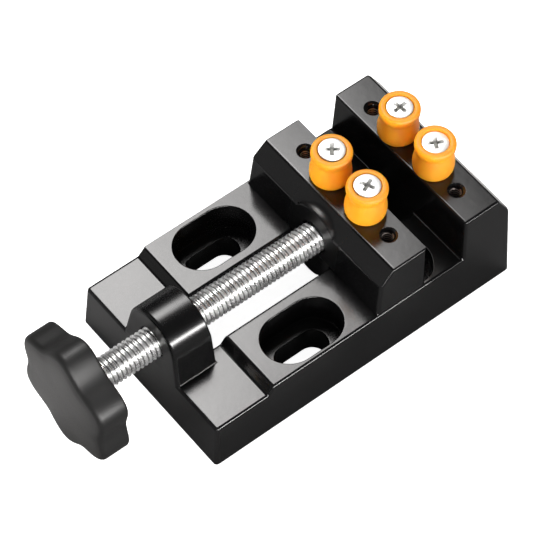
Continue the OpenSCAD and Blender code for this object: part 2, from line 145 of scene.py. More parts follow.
class Net:
    """Adds nodes to one tree."""

    def __init__(self, tree):
        self.tree = tree

    def feed(self, socket, value):
        if isinstance(value, Wire):
            self.tree.links.new(value.socket, socket)
        else:
            socket.default_value = value

    def add(self, kind, feeds=None, out=0, **settings):
        """A node of any kind with its sockets fed, given by its output."""
        node = self.tree.nodes.new(kind)
        for name, value in settings.items():
            setattr(node, name, value)
        for name, value in (feeds or {}).items():
            self.feed(node.inputs[name], value)
        return Wire(self, node.outputs[out]) if len(node.outputs) else None

    def noise(self, place, scale, detail=2.0, roughness=0.5):
        feeds = {"Vector": place, "Scale": scale, "Detail": detail, "Roughness": roughness}
        return self.add("ShaderNodeTexNoise", feeds)


def rgb(r, g, b):
    return (r, g, b, 1.0)


def rise(value, start, end):
    """0 below start and 1 above end, both in millimetres."""
    return value.span(start * MM, end * MM)


def fall(value, start, end):
    """1 below start and 0 above end, both in millimetres."""
    return value.span(start * MM, end * MM, 1.0, 0.0)


# Geometry Nodes: round shapes swept from a profile

def tree_inputs(tree, wanted):
    """Adds the named inputs to a tree, and gives the identifier of each."""
    tree.interface.new_socket("Geometry", in_out="INPUT", socket_type="NodeSocketGeometry")
    tree.interface.new_socket("Geometry", in_out="OUTPUT", socket_type="NodeSocketGeometry")
    keys = {}
    for name, kind, value in wanted:
        item = tree.interface.new_socket(name, in_out="INPUT", socket_type="NodeSocket" + kind)
        if value is not None:
            item.default_value = value
        keys[name] = item.identifier
    return keys


SWEEP_INPUTS = [
    ("Steps", "Int", 48),
    ("Turns", "Int", 1),
    ("Advance", "Float", 0.0),
    ("Lobes", "Int", 0),
    ("Outline radius", "Float", 0.0),
    ("Lobe depth", "Float", 0.0),
    ("Lobe sharpness", "Float", 1.0),
    ("Place", "Vector", (0.0, 0.0, 0.0)),
    ("Facing", "Vector", (0.0, 0.0, 0.0)),
    ("Scale", "Float", MM),
    ("Finish", "Material", None),
]


def sweep_tree():
    """Turns the points of a profile about Z. Each point holds its share of the lobed outline,
    its own radius and its height, and the sweep climbs by Advance in each turn."""
    tree = bpy.data.node_groups.new("swept_round", "GeometryNodeTree")
    keys = tree_inputs(tree, SWEEP_INPUTS)
    net = Net(tree)
    given = net.add("NodeGroupInput")
    profile = given.out("Geometry")
    points = net.add("GeometryNodeAttributeDomainSize", {0: profile}, component="MESH")
    steps = given.out("Steps")
    rows = steps * given.out("Turns") + 1
    grid = net.add("GeometryNodeMeshGrid", {"Vertices X": rows, "Vertices Y": points})
    index = net.add("GeometryNodeInputIndex")
    row = (index / points + 0.5 / 1000).call("FLOOR")
    column = index - row * points
    spot = net.add("GeometryNodeInputPosition")
    sample = net.add("GeometryNodeSampleIndex",
                     {"Geometry": profile, "Value": spot, "Index": column},
                     data_type="FLOAT_VECTOR", domain="POINT")
    parts = net.add("ShaderNodeSeparateXYZ", {0: sample})
    turned = row / steps
    angle = turned * TAU
    hollow = ((angle * given.out("Lobes")).call("COSINE") * 0.5 + 0.5).call("MAXIMUM", 0.0)
    outline = given.out("Outline radius") - \
        given.out("Lobe depth") * hollow ** given.out("Lobe sharpness")
    radius = parts * outline + parts.out("Y")
    height = parts.out("Z") + turned * given.out("Advance")
    place = net.add("ShaderNodeCombineXYZ",
                    {0: radius * angle.call("COSINE"), 1: radius * angle.call("SINE"), 2: height})
    moved = net.add("GeometryNodeSetPosition", {"Geometry": grid, "Position": place})
    welded = net.add("GeometryNodeMergeByDistance", {"Geometry": moved, "Distance": 0.002})
    scale = net.add("ShaderNodeCombineXYZ",
                    {0: given.out("Scale"), 1: given.out("Scale"), 2: given.out("Scale")})
    seated = net.add("GeometryNodeTransform",
                     {"Geometry": welded, "Translation": given.out("Place"),
                      "Rotation": given.out("Facing"), "Scale": scale})
    real = net.add("GeometryNodeRealizeInstances", {0: seated})
    dressed = net.add("GeometryNodeSetMaterial", {"Geometry": real, "Material": given.out("Finish")})
    net.add("NodeGroupOutput", {0: dressed})
    return tree, keys


def screw_tree(sweep):
    """A turned screw with a cross recess in its head, whose top is at zero."""
    tree = bpy.data.node_groups.new("cross_head_screw", "GeometryNodeTree")
    keys = tree_inputs(tree, [
        ("Steps", "Int", 48),
        ("Slot length", "Float", 4.8),
        ("Slot width", "Float", 1.3),
        ("Slot depth", "Float", 1.2),
        ("Turn", "Float", 0.0),
        ("Place", "Vector", (0.0, 0.0, 0.0)),
        ("Facing", "Vector", (0.0, 0.0, 0.0)),
        ("Finish", "Material", None),
    ])
    net = Net(tree)
    given = net.add("NodeGroupInput")
    body = net.add("GeometryNodeGroup", node_tree=sweep)
    for name in ("Geometry", "Steps"):
        net.feed(body.socket.node.inputs[name], given.out(name))
    net.feed(body.socket.node.inputs["Scale"], 1.0)
    depth = given.out("Slot depth")
    cut = body
    for quarter in (0.0, TAU / 4):
        size = net.add("ShaderNodeCombineXYZ",
                       {0: given.out("Slot length"), 1: given.out("Slot width"), 2: depth * 2})
        bar = net.add("GeometryNodeMeshCube",
                      {"Size": size, "Vertices X": 2, "Vertices Y": 2, "Vertices Z": 3})
        spot = net.add("ShaderNodeSeparateXYZ", {0: net.add("GeometryNodeInputPosition")})
        sunk = (spot.out("Z") / depth).span(-1.0, 0.0, 0.34, 1.0)
        slim = (spot.out("Z") / depth).span(-1.0, 0.0, 0.75, 1.0)
        taper = net.add("ShaderNodeCombineXYZ",
                        {0: spot * sunk, 1: spot.out("Y") * slim, 2: spot.out("Z")})
        bar = net.add("GeometryNodeSetPosition", {"Geometry": bar, "Position": taper})
        turn = net.add("ShaderNodeCombineXYZ", {2: given.out("Turn") + quarter})
        bar = net.add("GeometryNodeTransform", {"Geometry": bar, "Rotation": turn})
        cut = net.add("GeometryNodeMeshBoolean", {"Mesh 1": cut, "Mesh 2": bar}, operation="DIFFERENCE",
                      solver="EXACT")
    seated = net.add("GeometryNodeTransform",
                     {"Geometry": cut, "Translation": given.out("Place"),
                      "Rotation": given.out("Facing"), "Scale": (MM, MM, MM)})
    real = net.add("GeometryNodeRealizeInstances", {0: seated})
    dressed = net.add("GeometryNodeSetMaterial", {"Geometry": real, "Material": given.out("Finish")})
    net.add("NodeGroupOutput", {0: dressed})
    return tree, keys


def grown(name, kit, profile, **inputs):
    """The plain mesh object that a tree grows from a profile's points."""
    tree, keys = kit
    mesh = bpy.data.meshes.new(name)
    mesh.from_pydata([Vector(p) for p in profile], [(i, i + 1) for i in range(len(profile) - 1)], [])
    piece = bpy.data.objects.new(name, mesh)
    bpy.context.collection.objects.link(piece)
    grow = piece.modifiers.new("grow", "NODES")
    grow.node_group = tree
    for key, value in inputs.items():
        grow[keys[key.replace("_", " ")]] = value
    graph = bpy.context.evaluated_depsgraph_get()
    result = bpy.data.meshes.new_from_object(piece.evaluated_get(graph))
    piece.modifiers.remove(grow)
    piece.data = result
    result.name = name
    return piece


def tidy_mesh(piece, sharp=35, merge=1e-6, close=True):
    """Welds, closes and rights a mesh, and shades it smooth but for its sharp edges."""
    bm = bmesh.new()
    bm.from_mesh(piece.data)
    bmesh.ops.remove_doubles(bm, verts=bm.verts, dist=merge)
    bmesh.ops.dissolve_degenerate(bm, dist=merge, edges=bm.edges)
    if close:
        bmesh.ops.holes_fill(bm, edges=[e for e in bm.edges if e.is_boundary])
    bmesh.ops.recalc_face_normals(bm, faces=bm.faces)
    for face in bm.faces:
        face.smooth = True
    bm.to_mesh(piece.data)
    bm.free()
    piece.data.set_sharp_from_angle(angle=math.radians(sharp))
    return piece


def joined(name, pieces):
    """One object from several, with their materials."""
    first = pieces[0]
    with bpy.context.temp_override(active_object=first, selected_editable_objects=pieces,
                                   selected_objects=pieces, object=first):
        bpy.ops.object.join()
    first.name = name
    first.data.name = name
    return first


def settle(piece, body, slot, *nodes):
    """Rides a finished piece on its body in place of its CAD nodes."""
    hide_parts(*nodes)
    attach(piece, body)
    return piece


# Materials

def material(name):
    finish = bpy.data.materials.new(name)
    finish.use_nodes = True
    finish.node_tree.nodes.clear()
    net = Net(finish.node_tree)
    place = net.add("ShaderNodeTexCoord", out="Object")
    return finish, net, place


def surface(net, feeds, dull=None, **constants):
    """The Principled shader and its output, matt by the share dull. Constants go on its sockets."""
    shader = net.add("ShaderNodeBsdfPrincipled", feeds)
    for name, value in constants.items():
        shader.socket.node.inputs[name.replace("_", " ")].default_value = value
    if dull:
        matt = net.add("ShaderNodeBsdfDiffuse", {"Color": feeds["Base Color"]})
        shader = net.add("ShaderNodeMixShader", {0: dull, 1: shader, 2: matt})
    net.add("ShaderNodeOutputMaterial", {"Surface": shader})


def bump(net, height, strength, distance, normal=None):
    feeds = {"Height": height, "Strength": strength, "Distance": distance}
    if normal:
        feeds["Normal"] = normal
    return net.add("ShaderNodeBump", feeds)


def gloss_black_coat():
    """Black coat on a die casting: a faint orange peel and a slow change of gloss."""
    finish, net, place = material("gloss_black_coat")
    slow = net.noise(place, 45, 3)
    peel = net.noise(place, 520, 2, 0.4)
    grain = net.noise(place, 2600, 3, 0.6)
    tone = slow.span(0.3, 0.7).mix(rgb(0.0028, 0.0028, 0.003), rgb(0.0045, 0.0045, 0.0047))
    spot = net.add("ShaderNodeSeparateXYZ", {0: place})
    up = spot.out("Z")
    aside = spot.out("Y").call("ABSOLUTE")
    # The nut boss's left half
    boss = fall(spot, BOSS_REAR_X + 0.5, BOSS_REAR_X + 1.5) * rise(up, STEP_Z + 0.3, STEP_Z + 1.1) * \
        rise(spot.out("Y"), -6, -3)
    # The movable jaw's boss about the screw
    hood = rise(spot, 3.5, 4) * fall(spot, 10.5, 12) * fall(aside, 9.5, 12.5) * \
        rise(up, RAIL_Z, RAIL_Z + 0.4)
    # The rails' tops between the jaws
    between = rise(spot, MOVING_FACE_X + 0.5, MOVING_FACE_X + 2.5) * \
        fall(spot, FIXED_FACE_X - 0.3, FIXED_FACE_X) * \
        rise(up, RAIL_Z - 0.7, RAIL_Z - 0.4) * fall(up, RAIL_Z + 0.4, RAIL_Z + 0.7)
    # The pockets' walls and floors
    sunk = fall(up, RAIL_Z - 1.4, RAIL_Z - 0.4) * rise(aside, 10.8, 11.2) * fall(aside, 30.2, 30.6) * \
        rise(spot, -34.5, -34)
    # The base's front face
    front = spot.span((BOSS_FRONT_X + 0.2) * MM, (BOSS_FRONT_X + 0.7) * MM, 0.16, 0.0)
    rough = slow.span(0.3, 0.7, 0.16, 0.2) + grain.span(0.35, 0.75, 0.0, 0.035) + boss * 0.08 + \
        sunk * 0.06 + front + hood * 0.16
    skin = bump(net, grain, 0.05, 0.00004, bump(net, peel, 0.06, 0.0002))
    surface(net, {"Base Color": tone, "Roughness": rough, "Normal": skin}, dull=between * 0.75, IOR=1.5)
    return finish


def zinc_plate(name="zinc_plate", shade=0.9):
    """Bright zinc plate: fine turned lines and patches of duller plate."""
    finish, net, place = material(name)
    patch = net.noise(place, 300, 3)
    drawn = net.add("ShaderNodeMapping", {"Vector": place, "Scale": (6.0, 1.0, 1.0)})
    lines = net.noise(drawn, 700, 3, 0.6)
    tone = patch.span(0.3, 0.72).mix(rgb(shade * 0.88, shade * 0.89, shade * 0.9), rgb(shade, shade, shade))
    rough = patch.span(0.25, 0.75, 0.24, 0.34) + lines.span(0.4, 0.7, 0.0, 0.06)
    surface(net, {"Base Color": tone, "Roughness": rough, "Normal": bump(net, lines, 0.12, 0.00005)},
            Metallic=1.0)
    return finish


def rolled_zinc():
    """The lead screw's plate: bright on the crests, with painted shade darkening the roots."""
    finish, net, place = material("rolled_zinc")
    patch = net.noise(place, 380, 3)
    spot = net.add("ShaderNodeSeparateXYZ", {0: place})
    out = spot.out("Z") - SCREW_Z * MM
    radius = (spot.out("Y") * spot.out("Y") + out * out).call("SQRT")
    depth = radius.span(THREAD_ROOT_R * MM, (THREAD_ROOT_R + 0.35) * MM)
    plate = patch.span(0.3, 0.72).mix(rgb(0.9, 0.9, 0.9), rgb(0.97, 0.97, 0.97))
    # Painted shade: the roots are coloured a patchy dark grey, standing in for the shade down in them.
    oil_and_root_shade = patch.span(0.3, 0.7).mix(rgb(0.09, 0.09, 0.087), rgb(0.2, 0.2, 0.193))
    tone = depth.mix(oil_and_root_shade, plate)
    rough = patch.span(0.25, 0.75, 0.22, 0.34)
    surface(net, {"Base Color": tone, "Roughness": rough, "Normal": bump(net, patch, 0.05, 0.00005)},
            Metallic=0.86)
    return finish


def bright_head(name="bright_head"):
    """Plated screw head, nearly white under the light, with painted shade making it greyer in its cross
    recess.
    """
    finish, net, place = material(name)
    patch = net.noise(place, 420, 3)
    grain = net.noise(place, 3000, 2)
    tone = patch.span(0.3, 0.7).mix(rgb(0.86, 0.86, 0.85), rgb(0.93, 0.93, 0.92))
    # Painted shade: the cross recess, by its depth below the head's top, is coloured dark grey and made
    # less metallic.
    sunk = net.add("ShaderNodeAttribute", attribute_name="depth", out="Fac")
    tone = sunk.mix(tone, rgb(0.2, 0.2, 0.18))
    rough = patch.span(0.3, 0.7, 0.42, 0.52)
    surface(net, {"Base Color": tone, "Roughness": rough, "Metallic": 1.0 - sunk * 0.75,
                  "Normal": bump(net, grain, 0.08, 0.00003)})
    return finish


def satin_black_plastic():
    """The knob's moulded plastic: a fine even grain with a few rubbed spots, and painted shade darkening it
    behind the front face.
    """
    finish, net, place = material("satin_black_plastic")
    grain = net.noise(place, 2200, 3, 0.6)
    slow = net.noise(place, 60, 3)
    spot = net.add("ShaderNodeSeparateXYZ", {0: place})
    # Painted shade: the sides and back, all behind the front face, are coloured darker than the face, and
    # are also rougher.
    side = spot.span((KNOB_REAR_X - KNOB_T + 0.1) * MM, (KNOB_REAR_X - KNOB_T + 0.9) * MM)
    tone = slow.span(0.3, 0.7).mix(rgb(0.021, 0.0203, 0.0197), rgb(0.027, 0.0262, 0.0255))
    tone = (side * 0.8).mix(tone, rgb(0.004, 0.004, 0.004))
    rough = slow.span(0.3, 0.7, 0.28, 0.33) + grain.span(0.4, 0.7, 0.0, 0.05) + side * 0.16
    surface(net, {"Base Color": tone, "Roughness": rough, "Normal": bump(net, grain, 0.1, 0.00006)})
    return finish


def orange_plastic():
    """The pegs' moulded plastic: warm orange, a little deeper in patches."""
    finish, net, place = material("orange_plastic")
    slow = net.noise(place, 160, 3)
    grain = net.noise(place, 1800, 3)
    tone = slow.span(0.3, 0.7).mix(rgb(1.0, 0.34, 0.008), rgb(1.0, 0.39, 0.012))
    rough = slow.span(0.3, 0.7, 0.46, 0.56)
    surface(net, {"Base Color": tone, "Roughness": rough, "Normal": bump(net, grain, 0.06, 0.00005)},
            Subsurface_Weight=0.45, Subsurface_Radius=(0.004, 0.001, 0.0002), Subsurface_Scale=1.0)
    return finish


def bare_thread():
    """Cut thread in a tapped hole: bright, patchy crests, and painted shade down in the roots."""
    finish, net, place = material("bare_thread")
    oil_and_root_shade = net.noise(place, 900, 3)
    turn = net.add("ShaderNodeAttribute", attribute_name="depth", out="Fac")
    crest = oil_and_root_shade.span(0.3, 0.7).mix(rgb(0.42, 0.34, 0.3), rgb(0.6, 0.52, 0.47))
    # Painted shade: the roots, deeper in the hole's wall, are coloured near black.
    tone = turn.span(0.0, 0.6).mix(crest, rgb(0.006, 0.004, 0.004))
    rough = oil_and_root_shade.span(0.3, 0.7, 0.3, 0.5)
    surface(net, {"Base Color": tone, "Roughness": rough}, Metallic=0.8)
    return finish


def turned_brass():
    """Brass insert with turning marks."""
    finish, net, place = material("turned_brass")
    marks = net.noise(net.add("ShaderNodeMapping", {"Vector": place, "Scale": (8.0, 1.0, 1.0)}), 500, 3)
    tone = marks.span(0.3, 0.7).mix(rgb(0.62, 0.45, 0.17), rgb(0.72, 0.55, 0.24))
    rough = marks.span(0.3, 0.7, 0.25, 0.4)
    surface(net, {"Base Color": tone, "Roughness": rough, "Normal": bump(net, marks, 0.1, 0.00004)},
            Metallic=1.0)
    return finish


COAT = gloss_black_coat()
ZINC = zinc_plate()
ROLLED = rolled_zinc()
PLATE = zinc_plate("dull_zinc_plate", 0.6)
HEAD = bright_head()
KNOB_PLASTIC = satin_black_plastic()
PEG_PLASTIC = orange_plastic()
THREAD = bare_thread()
BRASS = turned_brass()


# Castings: merged copies of the CAD solids with every edge rounded

EDGE_MAX = 1.5
SHARP_FROM = 24


def cast_copy(node, name, radius_of):
    """A copy of a casting whose sharp edges are rounded by the radius that radius_of gives."""
    bm = bmesh.new()
    bm.from_mesh(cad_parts[node].data)
    bmesh.ops.remove_doubles(bm, verts=bm.verts, dist=2e-6)
    bmesh.ops.dissolve_limit(bm, angle_limit=math.radians(0.4), verts=bm.verts, edges=bm.edges)
    for vert in bm.verts:
        widen_tapped_hole(vert)
        shift_hole(vert)
        if node == "movable_jaw":
            trim_tongue(vert)
            continue
        trim_gap(vert)
        trim_pocket(vert)
        ease_rear(vert)
        blend_boss(vert)
    weights = bm.edges.layers.float.new("bevel_weight_edge")
    for edge in bm.edges:
        if len(edge.link_faces) != 2:
            continue
        if abs(edge.calc_face_angle_signed(0.0)) < math.radians(SHARP_FROM):
            continue
        middle = (edge.verts[0].co + edge.verts[1].co) / (2 * MM)
        along = (edge.verts[1].co - edge.verts[0].co).normalized()
        edge[weights] = radius_of(middle, along) / EDGE_MAX
    mesh = bpy.data.meshes.new(name)
    bm.to_mesh(mesh)
    bm.free()
    piece = bpy.data.objects.new(name, mesh)
    bpy.context.collection.objects.link(piece)
    mesh.materials.append(COAT)
    for face in mesh.polygons:
        face.use_smooth = True
    rounding = piece.modifiers.new("rounding", "BEVEL")
    rounding.limit_method = "WEIGHT"
    rounding.width = EDGE_MAX * MM
    rounding.segments = 4
    rounding.use_clamp_overlap = False
    rounding.miter_outer = "MITER_SHARP"
    even = piece.modifiers.new("even", "WEIGHTED_NORMAL")
    even.mode = "FACE_AREA"
    even.weight = 60
    even.keep_sharp = True
    return piece


def widen_tapped_hole(vert):
    """Opens a tapped hole's wall to the root of its thread, which is a piece of its own."""
    place = vert.co / MM
    if place.z > TAPPED_MOUTH_Z + 0.05 or place.z < TAPPED_BOTTOM_Z - 0.05:
        return
    for x in (FIXED_HOLE_X, MOVING_HOLE_X):
        for y in (-END_HOLE_Y, END_HOLE_Y):
            out = Vector((place.x - x, place.y - y, 0))
            if abs(out.length - TAPPED_R) < 0.05:
                vert.co += out.normalized() * (TAPPED_ROOT_R - TAPPED_R) * MM


def shift_hole(vert):
    """Moves a free hole in towards the pegs, to where it shows."""
    place = vert.co / MM
    for x in (FIXED_HOLE_X, MOVING_HOLE_X):
        ring = math.hypot(place.x - x, abs(place.y) - END_HOLE_Y)
        if place.z > TAPPED_BOTTOM_Z - 2 and ring < HOLE_MOUTH_R:
            vert.co.y -= math.copysign((END_HOLE_Y - HOLE_SHOW_Y) * MM, place.y)


def near(value, target, slack=0.3):
    return abs(value - target) < slack


def trim_gap(vert):
    """Narrows the gap between the rails to the width that shows."""
    place = vert.co / MM
    at_wall = GAP_EDGE_Y - 0.5 < abs(place.y) < GAP_EDGE_Y + ON_PLACE
    if at_wall and place.z < RAIL_Z + 0.2 and place.x > BOSS_REAR_X - 0.2:
        vert.co.y -= math.copysign(GAP_TRIM * MM, place.y)


def trim_tongue(vert):
    """Narrows the movable jaw's tongue, round end and all, by the same share as the gap."""
    place = vert.co / MM
    if 4 < abs(place.y) < GAP_EDGE_Y + ON_PLACE and place.z < RAIL_Z + 0.2:
        vert.co.y *= 1 - GAP_TRIM / GAP_EDGE_Y


def ease_rear(vert):
    """Sets the rear pocket's end forward, as it shows."""
    place = vert.co / MM
    walls = POCKET_Z - ON_PLACE < place.z < RAIL_Z + ON_PLACE
    if walls and 27 < place.x < 33 and 11 < abs(place.y) < 30.1:
        vert.co.x -= REAR_TRIM * MM * min(1.0, (place.x - 27) / 3)


def trim_pocket(vert):
    """Draws a pocket's outer wall in from the rail's edge, as it shows."""
    place = vert.co / MM
    aside = abs(place.y)
    walls = POCKET_Z - ON_PLACE < place.z < RAIL_Z + ON_PLACE
    if walls and 12 < aside < 30 and -33 < place.x < 33:
        if aside > 25 or place.z > POCKET_Z + ON_PLACE:
            vert.co.y -= math.copysign(POCKET_TRIM * MM * min(1.0, (aside - 12) / 17.5), place.y)


def blend_boss(vert):
    """Carries the boss's round side straight down into its foot, and draws in the screw's mouth."""
    place = vert.co / MM
    if not BOSS_FRONT_X - 0.1 < place.x < BOSS_REAR_X + 0.1:
        return
    ring = math.hypot(place.y, place.z - SCREW_Z)
    if near(ring, BOSS_R, 0.1) and place.z < SCREW_Z + BOSS_TANGENT_H and place.z > SCREW_Z - 0.1:
        side = BOSS_FOOT_Y - (place.z - STEP_Z) * BOSS_FLANK_LEAN
        vert.co.y = math.copysign(side * MM, place.y)
    if 5.25 < ring < 6.3:
        vert.co.y *= MOUTH_R / ring
        vert.co.z = (SCREW_Z + (place.z - SCREW_Z) * MOUTH_R / ring) * MM


def base_radius(at, along):
    """Radius of the base's edge whose middle is at a place and which runs along a direction."""
    ring = math.hypot(at.y, at.z - SCREW_Z)
    # The underside's outer edges, then all else that is low down
    if at.z < 0.3 and (abs(at.y) > 30.5 or abs(at.x) > 54.5):
        return 0.35
    if at.z < 7:
        return 0.1
    # The boss's front rim, and the screw's two mouths
    if near(at.x, BOSS_FRONT_X, 0.8) and abs(at.y) < 12.9 and ring > 10.4 and at.z > STEP_Z - 0.5:
        return 1.3
    if near(at.x, BOSS_FRONT_X, 0.8) and ring < 7:
        return 0.12
    if near(at.x, BOSS_REAR_X) and ring < 7:
        return 0.12
    # The boss's foot and its rear rim
    if at.x < BOSS_REAR_X + 0.5 and abs(at.y) < 14 and near(at.z, STEP_Z, 0.1):
        return 0.35
    if near(at.x, BOSS_REAR_X) and at.z > STEP_Z:
        return 0.35 if abs(along.z) > 0.9 else 0.6
    # The outer edges of the rails and of the step
    if abs(at.y) > 30 and at.x < 36 and at.z > 7 and (at.y < 0 or at.x < -35):
        return 1.0
    if at.x < -54 and abs(at.y) > 13 and at.z > STEP_Z - 0.5:
        return 1.0
    # The gap's top edges
    if near(abs(at.y), GAP_EDGE_Y - GAP_TRIM, 0.2) and near(at.z, RAIL_Z, 0.2) and abs(along.x) > 0.9:
        return 1.3
    # The slots' edges in the pockets' floors, and the pockets' rims
    if near(at.z, POCKET_Z) and abs(at.y) > 9.5:
        return 0.25
    if near(at.z, RAIL_Z, 0.1) and 9.5 < abs(at.y) < 30.2 and at.x < 33 and at.x > -32:
        return 0.35
    # The free holes' mouths
    if at.z > 35.8 and hole_ring(at, FIXED_HOLE_X) < 3.2:
        return 0.08
    # The fixed jaw's upright, rear and top edges
    if at.z > RAIL_Z and abs(at.y) > 28 and abs(along.z) > 0.5 and at.x < 45:
        return 1.0
    if at.x > 50 and abs(at.y) > 28 and at.z < JAW_TOP_Z - 0.3:
        return 1.0
    if at.z > JAW_TOP_Z - 0.5 and at.x > 48:
        return 0.9
    if at.x > 50 and at.z > 28:
        return 0
    return 0.7


def hole_ring(at, hole_x):
    """Distance from the axis of the nearest free hole of a jaw."""
    return math.hypot(at.x - hole_x, abs(at.y) - HOLE_SHOW_Y)


def jaw_radius(at, along):
    """Radius of the movable jaw's edge, in the same way."""
    ring = math.hypot(at.y, at.z - SCREW_Z)
    # The free holes' mouths, and what is inside
    if at.z > 35.8 and hole_ring(at, MOVING_HOLE_X) < 3.2:
        return 0.08
    if at.x > MOVING_FRONT_X + 2 and at.x < MOVING_FACE_X - 0.5 and abs(at.y) < 12 and at.z < 37:
        return 0
    # The screw's mouth, the tongue, and the foot on the rails
    if ring < 6 and at.x < MOVING_FRONT_X + 1:
        return 0.15
    if at.z < RAIL_Z - 0.3:
        return 0
    if at.z < RAIL_Z + 0.3:
        return 0.2
    # The ends' upright and slanted edges
    if abs(at.y) > 27 and abs(along.z) > 0.5:
        return 1.5 if abs(along.z) > 0.9 else 0.8
    return 0.6


base_casting = cast_copy("base", "base_casting", base_radius)
settle(base_casting, "base", "casting", "base")
jaw_casting = cast_copy("movable_jaw", "movable_jaw_casting", jaw_radius)
settle(jaw_casting, "jaw", "casting", "movable_jaw")


# Threads: the lead screw's and those in the free tapped holes

SWEEP = sweep_tree()
SCREW_KIT = screw_tree(SWEEP[0])
ALONG_X = (0.0, TAU / 4, 0.0)


def thread_profile(crest, root, pitch, steps=10):
    """One turn's width of a rolled thread: a round crest and a tighter round root."""
    points = []
    for i in range(steps + 1):
        swing = 0.5 - 0.5 * math.cos(TAU * i / steps)
        points.append((0, root + (crest - root) * swing ** 0.8, i * pitch / steps))
    return points


def lathe(points):
    """Profile of a plain turned shape from (radius, height) pairs."""
    return [(0, r, h) for r, h in points]


def note_depth(piece, depth_of):
    """Stores on each point of a piece the depth, from 0 to 1, that depth_of gives for it."""
    depth = piece.data.attributes.new("depth", "FLOAT", "POINT")
    for vert, cell in zip(piece.data.vertices, depth.data):
        cell.value = min(1.0, max(0.0, depth_of(vert.co / MM)))


screw_low, screw_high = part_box("lead_screw")
screw_start = screw_low.x / MM
thread_end = MOVING_FRONT_X + 1.6
thread_turns = int((thread_end - screw_start) / THREAD_PITCH) - 1
rod = grown("lead_screw_rod", SWEEP, thread_profile(THREAD_R - THREAD_EASE, THREAD_ROOT_R, THREAD_PITCH),
            Steps=40, Turns=thread_turns, Advance=THREAD_PITCH,
            Place=(screw_start * MM, 0.0, SCREW_Z * MM), Facing=ALONG_X, Finish=ROLLED)
tidy_mesh(rod, 50)
spigot_end = screw_high.x / MM
spigot_start = thread_end - 3
SPIGOT_R = 3.95
GROOVE_R = 2.9
GROOVE_FRONT_X = 13.44
GROOVE_REAR_X = 16.56
spigot_points = [(0, spigot_start), (THREAD_ROOT_R, spigot_start), (THREAD_ROOT_R, thread_end - 0.1),
                 (SPIGOT_R, thread_end), (SPIGOT_R, GROOVE_FRONT_X), (GROOVE_R, GROOVE_FRONT_X),
                 (GROOVE_R, GROOVE_REAR_X), (SPIGOT_R, GROOVE_REAR_X), (SPIGOT_R, spigot_end - 0.4),
                 (SPIGOT_R - 0.4, spigot_end), (0, spigot_end)]
spigot = grown("spigot", SWEEP, lathe(spigot_points), Steps=48,
               Place=(0.0, 0.0, SCREW_Z * MM), Facing=ALONG_X, Finish=ZINC)
tidy_mesh(spigot, 30)
rod = joined("lead_screw_rod", [rod, spigot])
settle(rod, "screw", "steel", "lead_screw")

for jaw_name, hole_x, body in (("fixed", FIXED_HOLE_X, "base"), ("moving", MOVING_HOLE_X, "jaw")):
    linings = []
    for y in (-HOLE_SHOW_Y, HOLE_SHOW_Y):
        ridge = lathe([(TAPPED_ROOT_R + 0.1, 0), (TAPPED_R, 0.4), (TAPPED_R, 0.52),
                       (TAPPED_ROOT_R + 0.1, 0.92), (TAPPED_ROOT_R + 0.1, 0)])
        lining = grown("tapped_thread", SWEEP, ridge, Steps=36, Turns=8, Advance=1.0,
                       Place=(hole_x * MM, y * MM, (TAPPED_BOTTOM_Z + 0.1) * MM), Finish=THREAD)
        linings.append(tidy_mesh(lining, 30))
    lining = joined(f"tapped_threads_{jaw_name}", linings)
    note_depth(lining, lambda at: (math.hypot(at.x - hole_x, abs(at.y) - HOLE_SHOW_Y) - TAPPED_R) /
               (TAPPED_ROOT_R - TAPPED_R))
    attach(lining, body)


# Knob

KNOB_EDGE = 2.0
KNOB_DOME = 0.45
KNOB_SWELL = 0.2
KNOB_LOBES = 6
KNOB_LOBE_DEPTH = 3.1
KNOB_LOBE_SHARPNESS = 0.935


def knob_profile():
    """From the face's centre over its rounded edge, down the side and into the hollow back."""
    points = [(0, 0, KNOB_T)]
    side_h = KNOB_T - KNOB_DOME - KNOB_EDGE
    for share in (0.2, 0.4, 0.6, 0.75, 0.86):
        points.append((share, 0, KNOB_T - KNOB_DOME * share ** 3))
    for i in range(9):
        a = math.radians(90 * (1 - i / 8))
        points.append((1, -KNOB_EDGE * (1 - math.cos(a)), side_h + KNOB_EDGE * math.sin(a)))
    points.append((1, 0, side_h * 0.6))
    points.append((1, 0, 0.9))
    points.append((1, -0.12, 0.45))
    points.append((1, -0.35, 0.12))
    points.append((1, -0.7, 0))
    for r, h in ((14.3, 0), (14.0, 0.25), (13.8, 2.7), (13.5, 3.0), (9.5, 3.0), (9.2, 2.7),
                 (9.0, 0.25), (8.75, 0), (7.5, 0), (7.4, 0.1), (7.4, 1.5), (0, 1.5)):
        points.append((0, r, h))
    return points


knob = grown("knob_body", SWEEP, knob_profile(), Steps=240, Lobes=KNOB_LOBES,
             Outline_radius=KNOB_R + KNOB_SWELL, Lobe_depth=KNOB_LOBE_DEPTH,
             Lobe_sharpness=KNOB_LOBE_SHARPNESS,
             Place=(KNOB_REAR_X * MM, 0.0, SCREW_Z * MM), Facing=(TAU / 4, 0.0, -TAU / 4),
             Finish=KNOB_PLASTIC)
tidy_mesh(knob, 40)
settle(knob, "screw", "knob", "knob")


# Pegs and their screws

PEG_WAIST_SHARES = [(0, 0.865), (0.012, 0.895), (0.04, 0.93), (0.1, 0.965), (0.195, 0.985),
                    (0.293, 0.98), (0.39, 0.958), (0.488, 0.925), (0.569, 0.892), (0.634, 0.852),
                    (0.68, 0.828), (0.71, 0.828), (0.735, 0.855), (0.755, 0.895), (0.775, 0.93),
                    (0.8, 0.954), (0.845, 0.967), (0.9, 0.97), (0.943, 0.96), (0.976, 0.93),
                    (0.992, 0.89), (1, 0.85)]


